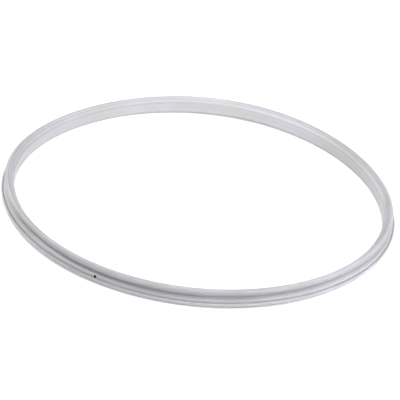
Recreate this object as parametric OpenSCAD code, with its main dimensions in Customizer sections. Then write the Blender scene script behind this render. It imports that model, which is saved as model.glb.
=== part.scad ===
// Sealing ring of a stovetop pressure cooker: one moulded loop of clear silicone.
// The ring lies on its two lips. Z runs up through its crown, and the origin is on its axis,
// level with the lips. The crown seats in the lid and the lips bear on the pot.

/* [Ring] */
// Outside diameter of the ring, over its flange
outer_d = 253; // [160:1:300]
// Width of the section, from the inner wall to the flange's rim
section_w = 7.7; // [7.4:0.1:8.6]
// Height of the section, from the lips to the crown's inner corner
section_h = 10.8; // [10.5:0.1:12]

/* [Flange] */
// Height of the flange's rim
flange_h = 2.8; // [2.4:0.1:3.2]
// Width of the ledge on top of the flange
ledge_w = 0.9; // [0.6:0.1:1.1]
// How far the ledge slopes down towards the rim
ledge_drop = 0.3; // [0.1:0.05:0.5]
// Width of the fine groove between the ledge and the shoulder
groove_w = 0.3; // [0.25:0.05:0.4]
// Depth of that groove
groove_d = 0.4; // [0.3:0.05:0.5]
// Radius of the rim's rounded underside
foot_r = 1.8; // [1:0.1:1.9]

/* [Shoulder] */
// How far the shoulder's corner lies inboard of the flange's rim
shoulder_inset = 1.4; // [1.3:0.05:1.6]
// Height of the shoulder's corner above the lips
shoulder_z = 4.5; // [4.3:0.05:4.7]
// Radius of the shoulder
shoulder_r = 0.8; // [0.5:0.1:1]

/* [Neck] */
// How far the neck's crease lies inboard of the flange's rim
neck_inset = 3.5; // [3:0.1:3.7]
// Height of the neck's crease above the lips
neck_z = 5.7; // [5.4:0.1:6]

/* [Crown] */
// How far the crown's outer corner lies inboard of the flange's rim
crown_inset = 1; // [0.7:0.1:1.4]
// Width of the crown's top, from its outer corner to its inner corner
crown_top_w = 3.4; // [3.2:0.05:3.6]
// How far the crown's top slopes down towards its outer corner
crown_drop = 0.9; // [0.6:0.1:1.1]
// Radius of the crown's outer corner
crown_outer_r = 1.4; // [1:0.1:1.8]
// Radius of the crown's inner corner
crown_inner_r = 0.5; // [0.3:0.1:0.8]

/* [Inner side] */
// Height of the inner wall, up to the foot of the bevel
inner_wall_h = 7.5; // [7:0.1:7.9]
// Radial width of the bevel between the inner wall and the crown's step
bevel_w = 2.45; // [2.2:0.05:2.6]
// Height of that bevel
bevel_h = 1.6; // [1.3:0.1:1.8]

/* [Channel] */
// Width of the channel's mouth, between the two lips
mouth_w = 3.4; // [2.8:0.1:3.6]
// Thickness of the inner lip at the mouth
lip_t = 1.6; // [1.4:0.1:1.8]
// Width of the channel's roof
roof_w = 1.4; // [1.2:0.1:1.6]
// Thickness of the inner wall beside the channel's roof
wall_t = 1.8; // [1.6:0.1:2]
// Height of the channel above the lips
channel_h = 5; // [4.7:0.1:5.4]

/* [Vent] */
// Diameter of the vent hole
vent_d = 1.7; // [1.4:0.1:1.8]
// Height of the vent hole's axis above the lips
vent_z = 3.8; // [3.65:0.05:3.85]
// Direction of the vent hole round the ring, from +X towards +Y
vent_angle = 243.8; // [0:0.1:359.9]

/* [Hidden] */

$fn = 180;
silicone = [0.82, 0.82, 0.85, 0.85];
arc_steps = 8;
toe_r = 0.4;
crease_r = 0.25;
groove_r = 0.08;
bevel_r = 0.5;
overrun = 1;

rim_r = outer_d / 2;
wall_r = rim_r - section_w;
crown_r = rim_r - crown_inset;
roof_inner_r = wall_r + wall_t;
ledge_r = rim_r - ledge_w;
ledge_z = flange_h + ledge_drop;

// Corners of the section, each [distance from the axis, height, corner radius],
// from the inner toe up over the crown and down the outside, and back along the channel
outline = [
    [wall_r, 0, toe_r],
    [wall_r, inner_wall_h, bevel_r],
    [wall_r + bevel_w, inner_wall_h + bevel_h, bevel_r],
    [crown_r - crown_top_w, section_h, crown_inner_r],
    [crown_r, section_h - crown_drop, crown_outer_r],
    [rim_r - neck_inset, neck_z, crease_r],
    [rim_r - shoulder_inset, shoulder_z, shoulder_r],
    [ledge_r - groove_w, ledge_z - groove_d, groove_r],
    [ledge_r, ledge_z, groove_r],
    [rim_r, flange_h, crease_r],
    [rim_r, 0, foot_r],
    [wall_r + lip_t + mouth_w, 0, toe_r],
    [roof_inner_r + roof_w, channel_h, toe_r],
    [roof_inner_r, channel_h, toe_r],
    [wall_r + lip_t, 0, toe_r]
];

function unit(v) = v / norm(v);

// Points of the arc of radius r that rounds corner b on the way from a to c
function corner(a, b, c, r) =
    let (to_a = unit(a - b), to_c = unit(c - b))
    let (half = acos(to_a * to_c) / 2, centre = b + unit(to_a + to_c) * r / sin(half))
    let (start = b + to_a * r / tan(half) - centre, end = b + to_c * r / tan(half) - centre)
    let (first = atan2(start[1], start[0]), turn = atan2(end[1], end[0]) - first)
    let (sweep = turn > 180 ? turn - 360 : turn < -180 ? turn + 360 : turn)
    [for (i = [0:arc_steps]) centre + r * [cos(first + sweep * i / arc_steps), sin(first + sweep * i / arc_steps)]];

function flat(p) = [p[0], p[1]];

// The outline with each of its corners rounded
function rounded(p) =
    let (n = len(p))
    [for (i = [0:n - 1]) each corner(flat(p[(i + n - 1) % n]), flat(p[i]), flat(p[(i + 1) % n]), p[i][2])];

module vent() {
    rotate([0, 0, vent_angle])
        translate([roof_inner_r + roof_w / 2, 0, vent_z])
            rotate([0, 90, 0])
                cylinder(d = vent_d, h = rim_r - roof_inner_r + overrun);
}

module sealing_ring() {
    color(silicone)
        difference() {
            rotate_extrude()
                polygon(rounded(outline));
            vent();
        }
}

sealing_ring();
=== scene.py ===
"""Looks of the sealing ring: one loop of milky silicone, lying on a pale floor in soft studio light."""

import math

import bmesh
import bpy
from mathutils import Matrix, Vector


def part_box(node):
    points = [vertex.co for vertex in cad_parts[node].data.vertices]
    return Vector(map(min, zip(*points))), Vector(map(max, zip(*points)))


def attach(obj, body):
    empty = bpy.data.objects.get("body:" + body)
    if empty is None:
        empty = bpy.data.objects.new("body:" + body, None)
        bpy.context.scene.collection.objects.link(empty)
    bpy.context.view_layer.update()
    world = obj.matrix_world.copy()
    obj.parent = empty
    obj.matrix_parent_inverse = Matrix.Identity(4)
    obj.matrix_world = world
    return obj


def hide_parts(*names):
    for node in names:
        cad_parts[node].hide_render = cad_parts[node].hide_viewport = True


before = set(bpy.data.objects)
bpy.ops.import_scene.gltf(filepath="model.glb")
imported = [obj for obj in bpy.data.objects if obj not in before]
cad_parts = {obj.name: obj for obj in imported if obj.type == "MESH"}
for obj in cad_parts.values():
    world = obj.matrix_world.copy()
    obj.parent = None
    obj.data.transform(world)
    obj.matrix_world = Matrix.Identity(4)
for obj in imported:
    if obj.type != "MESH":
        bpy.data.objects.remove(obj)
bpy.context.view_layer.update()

MM = 0.001
TAU = 2 * math.pi

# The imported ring's own outer radius, which every place across its section starts from
_, RING_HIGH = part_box("sealing_ring")
RIM_R = RING_HIGH[0]

# Section of the ring: from the flange's rim inwards, and from the lips up
SECTION_W = 7.7 * MM
SECTION_H = 10.8 * MM
FLANGE_H = 2.8 * MM
LEDGE_W = 0.9 * MM
LEDGE_DROP = 0.3 * MM
GROOVE_W = 0.3 * MM
GROOVE_D = 0.4 * MM
FOOT_R = 1.8 * MM
NECK_INSET = 3.5 * MM
NECK_Z = 5.7 * MM
SHOULDER_INSET = 1.4 * MM
SHOULDER_Z = 4.5 * MM
SHOULDER_R = 0.8 * MM
CROWN_INSET = 1.0 * MM
CROWN_TOP_W = 3.4 * MM
CROWN_DROP = 0.9 * MM
CROWN_OUTER_R = 1.4 * MM
CROWN_INNER_R = 0.5 * MM
INNER_WALL_H = 7.5 * MM
BEVEL_W = 2.45 * MM
BEVEL_H = 1.6 * MM
MOUTH_W = 3.4 * MM
LIP_T = 1.6 * MM
ROOF_W = 1.4 * MM
WALL_T = 1.8 * MM
CHANNEL_H = 5.0 * MM
TOE_R = 0.4 * MM
CREASE_R = 0.25 * MM
GROOVE_R = 0.08 * MM
BEVEL_R = 0.5 * MM

WALL_R = RIM_R - SECTION_W
CROWN_R = RIM_R - CROWN_INSET
ROOF_INNER_R = WALL_R + WALL_T
LEDGE_R = RIM_R - LEDGE_W
LEDGE_Z = FLANGE_H + LEDGE_DROP

# Corners of the section, each (distance from the axis, height, corner radius),
# from the inner toe up over the crown and down the outside, and back along the channel
OUTLINE = [
    (WALL_R, 0, TOE_R),
    (WALL_R, INNER_WALL_H, BEVEL_R),
    (WALL_R + BEVEL_W, INNER_WALL_H + BEVEL_H, BEVEL_R),
    (CROWN_R - CROWN_TOP_W, SECTION_H, CROWN_INNER_R),
    (CROWN_R, SECTION_H - CROWN_DROP, CROWN_OUTER_R),
    (RIM_R - NECK_INSET, NECK_Z, CREASE_R),
    (RIM_R - SHOULDER_INSET, SHOULDER_Z, SHOULDER_R),
    (LEDGE_R - GROOVE_W, LEDGE_Z - GROOVE_D, GROOVE_R),
    (LEDGE_R, LEDGE_Z, GROOVE_R),
    (RIM_R, FLANGE_H, CREASE_R),
    (RIM_R, 0, FOOT_R),
    (WALL_R + LIP_T + MOUTH_W, 0, TOE_R),
    (ROOF_INNER_R + ROOF_W, CHANNEL_H, TOE_R),
    (ROOF_INNER_R, CHANNEL_H, TOE_R),
    (WALL_R + LIP_T, 0, TOE_R),
]
# Steps round the ring and round each corner, and the angle from which an edge looks sharp
SEGMENTS = 720
ARC_STEPS = 8
SHARP_EDGE = math.radians(40)

# The vent hole, from the middle of the channel's roof out past the rim
VENT_D = 1.7 * MM
VENT_Z = 3.8 * MM
VENT_ANGLE = math.radians(243.8)
VENT_SEGMENTS = 48
# A face of the vent's wall runs along its axis, give or take a tilt with this sine
VENT_WALL_TILT = 0.05

# The soft ring doesn't lie quite round or flat: in three places it bulges out and lifts
LOBES = 3
LOBE_OUT = 0.7 * MM
LOBE_LIFT = 0.9 * MM
LOBE_ANGLE = math.radians(-40)

# Milky silicone: its shader's settings, and its grey, which turns a little violet where the noise
# of its clouds rises through the range VIOLET_WHERE
SILICONE = {
    "IOR": 1.41,
    "Transmission Weight": 0.3,
    "Subsurface Weight": 1,
    "Subsurface Radius": (1, 1, 1),
    "Subsurface Scale": 1 * MM,
}
NEUTRAL_TINT = (0.55, 0.55, 0.55)
VIOLET_TINT = (0.546, 0.542, 0.57)
VIOLET_WHERE = (0.38, 0.62)
# How fine its clouds, its streaks and the grain of its skin are, per metre
CLOUD_SCALE = 28
STREAK_LENGTHWISE = 12
STREAK_ACROSS = 1400
GRAIN_SCALE = 900
# Clouds and streaks make it this much darker or lighter, over the middle part of their noise
NOISE_MIDDLE = (0.3, 0.7)
LIGHT_SPREAD = (0.95, 1.05)
# Its skin: the least roughness and how much more the clouds can add, the grain's share of the relief
# beside the streaks', and how strong and how high that relief is
ROUGHNESS = 0.25
CLOUD_ROUGHNESS = 0.16
GRAIN_SHARE = 0.5
RELIEF_STRENGTH = 0.25
RELIEF_HEIGHT = 0.08 * MM

# Painted shade: places of the section where the silicone's colour is darkened to stand in for shade in its
# creases, groove and edges, and along the foot and toe:
# (distance from the axis, height, how far it reaches, share of the light that is lost)
PAINTED_SHADES = {
    "foot": (RIM_R - FOOT_R / 2, 0, 2 * MM, 0.55),
    "neck": (RIM_R - NECK_INSET + 0.4 * MM, NECK_Z + 0.6 * MM, 3.2 * MM, 0.31),
    "groove": (LEDGE_R - GROOVE_W / 2, FLANGE_H, 0.9 * MM, 0.36),
    "crown_outer": (CROWN_R, SECTION_H - CROWN_DROP, 2.4 * MM, 0.26),
    "crown_inner": (CROWN_R - CROWN_TOP_W, SECTION_H, 0.9 * MM, 0.3),
    "bevel_top": (WALL_R + BEVEL_W, INNER_WALL_H + BEVEL_H, 0.8 * MM, 0.16),
    "bevel_foot": (WALL_R, INNER_WALL_H, 0.8 * MM, 0.22),
    "toe": (WALL_R, 0, 1.3 * MM, 0.26),
}

# Painted shade for the inside of the vent: near-black, a little darker or lighter at random
PAINTED_VENT_SHADE = {"Roughness": 0.7, "Specular IOR Level": 0.1}
BORE_SHADE_NOISE_SCALE = 4000
BORE_SHADE_DARK = (0.006, 0.006, 0.007)
BORE_SHADE_LIGHT = (0.02, 0.02, 0.022)

# The floor glows a little, like a light table, so its shadows stay pale
FLOOR_SIZE = 20
FLOOR = {
    "Base Color": (0.7, 0.7, 0.7, 1),
    "Emission Color": (1, 1, 1, 1),
    "Emission Strength": 0.32,
    "Roughness": 0.9,
    "Specular IOR Level": 0,
}

# Soft light from all round is a little cool, and the light from the left a little warm
COOL_LIGHT = (0.87, 0.87, 1.0)
NEUTRAL_LIGHT = (1.0, 1.0, 1.0)
WARM_LIGHT = (1.0, 0.985, 0.91)
SURROUND_STRENGTH = 0.37
# Distant soft lights: direction round the ring from +X towards +Y, height angle, strength and colour
DISTANT_LIGHTS = {
    "right": (0, 35, 1.6, NEUTRAL_LIGHT),
    "left": (180, 60, 1.05, WARM_LIGHT),
    "back_left": (135, 22, 0.75, WARM_LIGHT),
}
DISTANT_LIGHT_SPREAD = math.radians(30)
# Lights on one stretch of the ring: direction, height angle and watts, then the stretch's own
# direction and the angle of the cone
STRETCH_LIGHTS = {
    "far_stretch": (-90, 50, 84, 90, 18),
    "left_stretch": (160, 45, 32, 170, 14),
    "right_stretch": (-45, 40, 75, -39, 14),
}
STRETCH_LIGHT_REACH = 1.3
STRETCH_LIGHT_RADIUS = 0.15

# The camera: how many times the ring's radius it stands off, its height angle and its roll, and
# the ring's radius and its middle, from the left and the top, as shares of the square picture
CAMERA_REACH = 8.0
CAMERA_ELEVATION = math.radians(29.82)
CAMERA_ROLL = math.radians(6.69)
RING_SHARE = 0.49
RING_CENTRE = (0.4983, 0.4968)
SENSOR_W = 36
CLIP_START = 50 * MM


def add_object(name, data):
    obj = bpy.data.objects.new(name, data)
    bpy.context.scene.collection.objects.link(obj)
    return obj


def add_mesh(name, bm):
    """Turns the bmesh into an object, and frees it."""
    mesh = bpy.data.meshes.new(name)
    bm.to_mesh(mesh)
    bm.free()
    return add_object(name, mesh)


def corner_arc(before, at, after, radius):
    """Points of the arc that rounds the corner `at`."""
    to_a = (before - at).normalized()
    to_c = (after - at).normalized()
    half = math.acos(max(-1, min(1, to_a.dot(to_c)))) / 2
    centre = at + (to_a + to_c).normalized() * radius / math.sin(half)
    start = at + to_a * radius / math.tan(half) - centre
    end = at + to_c * radius / math.tan(half) - centre
    first = math.atan2(start.y, start.x)
    sweep = math.atan2(end.y, end.x) - first
    if sweep > math.pi:
        sweep -= TAU
    elif sweep < -math.pi:
        sweep += TAU
    angles = [first + sweep * i / ARC_STEPS for i in range(ARC_STEPS + 1)]
    return [centre + radius * Vector((math.cos(a), math.sin(a))) for a in angles]


def section_points():
    flat = [Vector((radius, height)) for radius, height, _ in OUTLINE]
    points = []
    for i, (_, _, radius) in enumerate(OUTLINE):
        points += corner_arc(flat[i - 1], flat[i], flat[(i + 1) % len(flat)], radius)
    return points


def revolve(name, points, segments):
    bm = bmesh.new()
    rings = []
    for i in range(segments):
        a = TAU * i / segments
        rings.append([bm.verts.new((p.x * math.cos(a), p.x * math.sin(a), p.y)) for p in points])
    for i in range(segments):
        here, there = rings[i], rings[(i + 1) % segments]
        for j in range(len(points)):
            k = (j + 1) % len(points)
            bm.faces.new((here[j], there[j], there[k], here[k]))
    bmesh.ops.recalc_face_normals(bm, faces=bm.faces)
    return add_mesh(name, bm)


def cut_vent(ring):
    """Drills the vent hole from the middle of the channel's roof out past the rim."""
    length = RIM_R - ROOF_INNER_R
    round_the_ring = Matrix.Rotation(VENT_ANGLE, 4, "Z")
    out_to_the_vent = Matrix.Translation((ROOF_INNER_R + (ROOF_W + length) / 2, 0, VENT_Z))
    lying_down = Matrix.Rotation(math.pi / 2, 4, "Y")
    bm = bmesh.new()
    bmesh.ops.create_cone(
        bm,
        cap_ends=True,
        segments=VENT_SEGMENTS,
        radius1=VENT_D / 2,
        radius2=VENT_D / 2,
        depth=length,
        matrix=round_the_ring @ out_to_the_vent @ lying_down,
    )
    cutter = add_mesh("vent_cutter", bm)
    cut = ring.modifiers.new("vent", "BOOLEAN")
    cut.object = cutter
    cut.operation = "DIFFERENCE"
    cut.solver = "EXACT"
    bpy.context.view_layer.objects.active = ring
    bpy.ops.object.modifier_apply(modifier=cut.name)
    bpy.data.objects.remove(cutter)


def mark_section(ring):
    """Keeps each point's place in the section for the material, as it was before the ring settled."""
    radius = ring.data.attributes.new("radius", "FLOAT", "POINT")
    height = ring.data.attributes.new("height", "FLOAT", "POINT")
    for i, v in enumerate(ring.data.vertices):
        radius.data[i].value = math.hypot(v.co.x, v.co.y)
        height.data[i].value = v.co.z


def shade_vent(ring):
    """Gives the vent's own wall, deep in the ring where little light comes, the second material, which
    paints it near-black as shade.
    """
    axis = Vector((math.cos(VENT_ANGLE), math.sin(VENT_ANGLE), 0))
    start = axis * (ROOF_INNER_R + ROOF_W) + Vector((0, 0, VENT_Z))
    for face in ring.data.polygons:
        place = face.center - start
        along = place.dot(axis)
        within_bore = (place - axis * along).length < VENT_D / 2
        runs_along = abs(face.normal.dot(axis)) < VENT_WALL_TILT
        if along > 0 and within_bore and runs_along:
            face.material_index = 1


def settle(ring):
    """Gives the round, flat ring the shallow wave that a soft ring lies in."""
    for v in ring.data.vertices:
        a = math.atan2(v.co.y, v.co.x)
        wave = math.cos(LOBES * (a - LOBE_ANGLE))
        v.co.x += LOBE_OUT * wave * math.cos(a)
        v.co.y += LOBE_OUT * wave * math.sin(a)
        v.co.z += LOBE_LIFT * (1 + wave)


def smooth(ring):
    bm = bmesh.new()
    bm.from_mesh(ring.data)
    for f in bm.faces:
        f.smooth = True
    for e in bm.edges:
        e.smooth = len(e.link_faces) != 2 or e.calc_face_angle(0) < SHARP_EDGE
    bm.to_mesh(ring.data)
    bm.free()


class Material:
    """A material, with short calls for its nodes. What is the same all over is set on the shader itself."""

    def __init__(self, name, settings):
        self.data = bpy.data.materials.new(name)
        self.data.use_nodes = True
        self.tree = self.data.node_tree
        self.shader = self.tree.nodes["Principled BSDF"]
        for socket, value in settings.items():
            self.shader.inputs[socket].default_value = value

    def put(self, kind, **settings):
        node = self.tree.nodes.new(kind)
        for key, value in settings.items():
            setattr(node, key, value)
        return node

    def feed(self, value, socket):
        if isinstance(value, bpy.types.NodeSocket):
            self.tree.links.new(value, socket)
        else:
            socket.default_value = value

    def place(self):
        """The point's own coordinates, which stay with the ring."""
        return self.put("ShaderNodeTexCoord").outputs["Object"]

    def attribute(self, name):
        return self.put("ShaderNodeAttribute", attribute_name=name).outputs["Fac"]

    def compute(self, operation, *values):
        node = self.put("ShaderNodeMath", operation=operation)
        for value, socket in zip(values, node.inputs):
            self.feed(value, socket)
        return node.outputs[0]

    def spread(self, value, low_high, to, smooth=False):
        """Maps value from the range low_high to the range `to`."""
        node = self.put("ShaderNodeMapRange", interpolation_type="SMOOTHSTEP" if smooth else "LINEAR")
        for part, socket in zip((value, *low_high, *to), node.inputs):
            self.feed(part, socket)
        return node.outputs[0]

    def noise(self, vector, scale, detail, **settings):
        node = self.put("ShaderNodeTexNoise", **settings)
        node.inputs["Scale"].default_value = scale
        node.inputs["Detail"].default_value = detail
        self.feed(vector, node.inputs["Vector"])
        return node

    def mix(self, share, first, second):
        """A colour between first and second."""
        node = self.put("ShaderNodeMix", data_type="RGBA")
        self.feed(share, node.inputs["Factor"])
        node.inputs["A"].default_value = (*first, 1)
        node.inputs["B"].default_value = (*second, 1)
        return node.outputs["Result"]


def painted_section_shade(mat, radius, height):
    """Painted shade across the section: 1, and less near each place in the table of painted shade, where
    the colour is darkened to stand in for shade.
    """
    light = 1.0
    for at_radius, at_height, reach, loss in PAINTED_SHADES.values():
        across = mat.compute("SUBTRACT", radius, at_radius)
        up = mat.compute("SUBTRACT", height, at_height)
        squares = mat.compute("ADD", mat.compute("POWER", across, 2), mat.compute("POWER", up, 2))
        distance = mat.compute("SQRT", squares)
        light = mat.compute("MULTIPLY", light, mat.spread(distance, (0, reach), (1 - loss, 1), smooth=True))
    return light


def streaks(mat, place, radius, height):
    """Noise that is long and thin along the ring."""
    along = mat.put("ShaderNodeSeparateXYZ")
    mat.feed(place, along.inputs[0])
    stretched = mat.put("ShaderNodeCombineXYZ")
    for axis in (0, 1):
        mat.feed(mat.compute("MULTIPLY", along.outputs[axis], STREAK_LENGTHWISE), stretched.inputs[axis])
    mat.feed(mat.compute("MULTIPLY", height, STREAK_ACROSS), stretched.inputs[2])
    streak = mat.noise(stretched.outputs[0], scale=1, detail=2, noise_dimensions="4D")
    mat.feed(mat.compute("MULTIPLY", radius, STREAK_ACROSS), streak.inputs["W"])
    return streak.outputs["Fac"]


def silicone():
    """Milky translucent silicone: cloudy inside, with fine streaks along the ring and a satin skin, and
    painted shade in the creases, groove and edges of its section.
    """
    mat = Material("milky_silicone", SILICONE)
    place = mat.place()
    radius = mat.attribute("radius")
    height = mat.attribute("height")
    cloud = mat.noise(place, CLOUD_SCALE, detail=3).outputs["Fac"]
    streak = streaks(mat, place, radius, height)

    # Painted shade in the creases, groove and edges of the section, times random tone from the clouds and
    # streaks
    light = painted_section_shade(mat, radius, height)
    for variation in (cloud, streak):
        light = mat.compute("MULTIPLY", light, mat.spread(variation, NOISE_MIDDLE, LIGHT_SPREAD))
    violet = mat.spread(cloud, VIOLET_WHERE, (0, 1), smooth=True)
    shaded = mat.put("ShaderNodeVectorMath", operation="SCALE")
    mat.feed(mat.mix(violet, NEUTRAL_TINT, VIOLET_TINT), shaded.inputs[0])
    mat.feed(light, shaded.inputs["Scale"])
    mat.feed(shaded.outputs[0], mat.shader.inputs["Base Color"])

    grain = mat.noise(place, GRAIN_SCALE, detail=4).outputs["Fac"]
    relief = mat.compute("ADD", mat.compute("MULTIPLY", grain, GRAIN_SHARE), streak)
    bump = mat.put("ShaderNodeBump")
    bump.inputs["Strength"].default_value = RELIEF_STRENGTH
    bump.inputs["Distance"].default_value = RELIEF_HEIGHT
    mat.feed(relief, bump.inputs["Height"])
    mat.feed(bump.outputs[0], mat.shader.inputs["Normal"])
    roughness = mat.compute("MULTIPLY_ADD", cloud, CLOUD_ROUGHNESS, ROUGHNESS)
    mat.feed(roughness, mat.shader.inputs["Roughness"])
    return mat.data


# Near-black painted shade for the vent's wall, a little darker or lighter at random
def painted_vent_shade():
    mat = Material("painted_vent_shade", PAINTED_VENT_SHADE)
    bore_shade_noise = mat.noise(mat.place(), BORE_SHADE_NOISE_SCALE, detail=2).outputs["Fac"]
    mat.feed(mat.mix(bore_shade_noise, BORE_SHADE_DARK, BORE_SHADE_LIGHT), mat.shader.inputs["Base Color"])
    return mat.data


def floor():
    bpy.ops.mesh.primitive_plane_add(size=FLOOR_SIZE, location=(0, 0, 0))
    plane = bpy.context.object
    plane.name = "floor"
    plane.data.materials.append(Material("pale_floor", FLOOR).data)


def direction(azimuth, elevation):
    a = math.radians(azimuth)
    e = math.radians(elevation)
    return Vector((math.cos(e) * math.cos(a), math.cos(e) * math.sin(a), math.sin(e)))


def aim(light, at, target):
    obj = add_object(light.name, light)
    obj.location = at
    obj.rotation_mode = "QUATERNION"
    obj.rotation_quaternion = (target - at).to_track_quat("-Z", "Y")


def lights():
    world = bpy.data.worlds.new("studio")
    world.use_nodes = True
    back = world.node_tree.nodes["Background"]
    back.inputs["Color"].default_value = (*COOL_LIGHT, 1)
    back.inputs["Strength"].default_value = SURROUND_STRENGTH
    bpy.context.scene.world = world
    for name, (azimuth, elevation, strength, colour) in DISTANT_LIGHTS.items():
        light = bpy.data.lights.new(name, "SUN")
        light.angle = DISTANT_LIGHT_SPREAD
        light.energy = strength
        light.color = colour
        aim(light, direction(azimuth, elevation), Vector())
    for name, (azimuth, elevation, watts, stretch, cone) in STRETCH_LIGHTS.items():
        light = bpy.data.lights.new(name, "SPOT")
        light.shadow_soft_size = STRETCH_LIGHT_RADIUS
        light.spot_size = math.radians(cone)
        light.spot_blend = 1
        light.energy = watts
        aim(light, direction(azimuth, elevation) * STRETCH_LIGHT_REACH, direction(stretch, 0) * RIM_R)


def camera():
    data = bpy.data.cameras.new("camera")
    distance = CAMERA_REACH * RIM_R
    data.sensor_width = SENSOR_W
    data.lens = SENSOR_W * RING_SHARE * CAMERA_REACH
    data.clip_start = CLIP_START
    data.shift_x = 0.5 - RING_CENTRE[0]
    data.shift_y = RING_CENTRE[1] - 0.5
    back = Vector((0, -math.cos(CAMERA_ELEVATION), math.sin(CAMERA_ELEVATION)))
    look = (-back).to_track_quat("-Z", "Y").to_matrix().to_4x4()
    roll = Matrix.Rotation(CAMERA_ROLL, 4, "Z")
    cam = add_object("camera", data)
    cam.matrix_world = Matrix.Translation(back * distance) @ look @ roll
    bpy.context.scene.camera = cam


camera()
floor()
lights()
bpy.context.scene.view_settings.view_transform = "Standard"

ring = revolve("silicone_ring", section_points(), SEGMENTS)
cut_vent(ring)
ring.data.materials.append(silicone())
ring.data.materials.append(painted_vent_shade())
mark_section(ring)
shade_vent(ring)
settle(ring)
smooth(ring)
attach(ring, "root")
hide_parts("sealing_ring")
